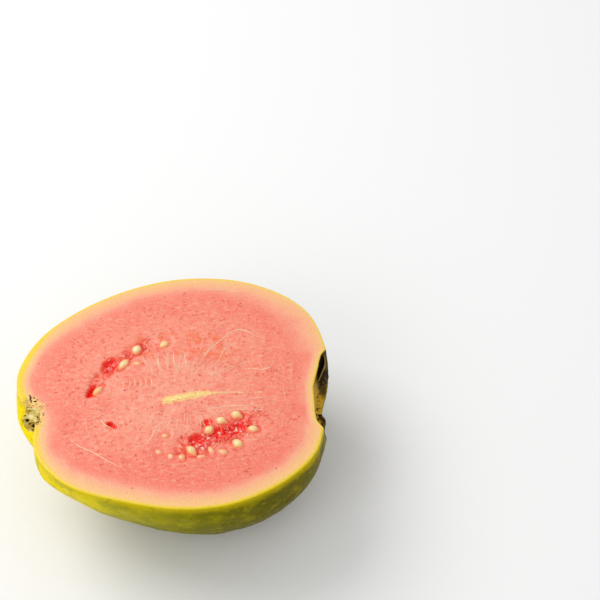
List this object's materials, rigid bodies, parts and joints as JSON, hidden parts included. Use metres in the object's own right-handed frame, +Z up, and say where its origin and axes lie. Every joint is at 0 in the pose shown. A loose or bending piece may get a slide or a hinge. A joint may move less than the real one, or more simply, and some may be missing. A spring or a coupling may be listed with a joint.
{
  "type": "guava half",
  "caption": "Half of a ripe pink guava cut lengthwise: flat cut face with seeds and wet hollows, green skin, stalk stub and dried calyx lobes. Lies on its skin.",
  "frame": {"origin": "middle of the bounding box, on the surface the half rests on", "axes": "+X from the stem end to the calyx end, +Y across the cut face to its fuller side, +Z up, out of the cut face"},
  "size_m": [0.0948, 0.0852, 0.0405],
  "materials": {
    "flesh": "moist salmon-pink fruit flesh with a fine grain, pale towards the rind, in a thin yellow-green skin",
    "seed": "cream bony seeds, wet",
    "pulp": "wet deep-red pulp in the seed chambers",
    "fibre": "pale vein fibres and the yellow core strand",
    "stalk_wood": "dry beige-grey wood with dark pits",
    "dried_calyx": "dry, dark brown, brittle and curled"
  },
  "bodies": {
    "root": {"fruit_half": "flesh", "stem_stub": "stalk_wood", "sepal_far": "dried_calyx", "sepal_low": "dried_calyx"}
  },
  "joints": []
}
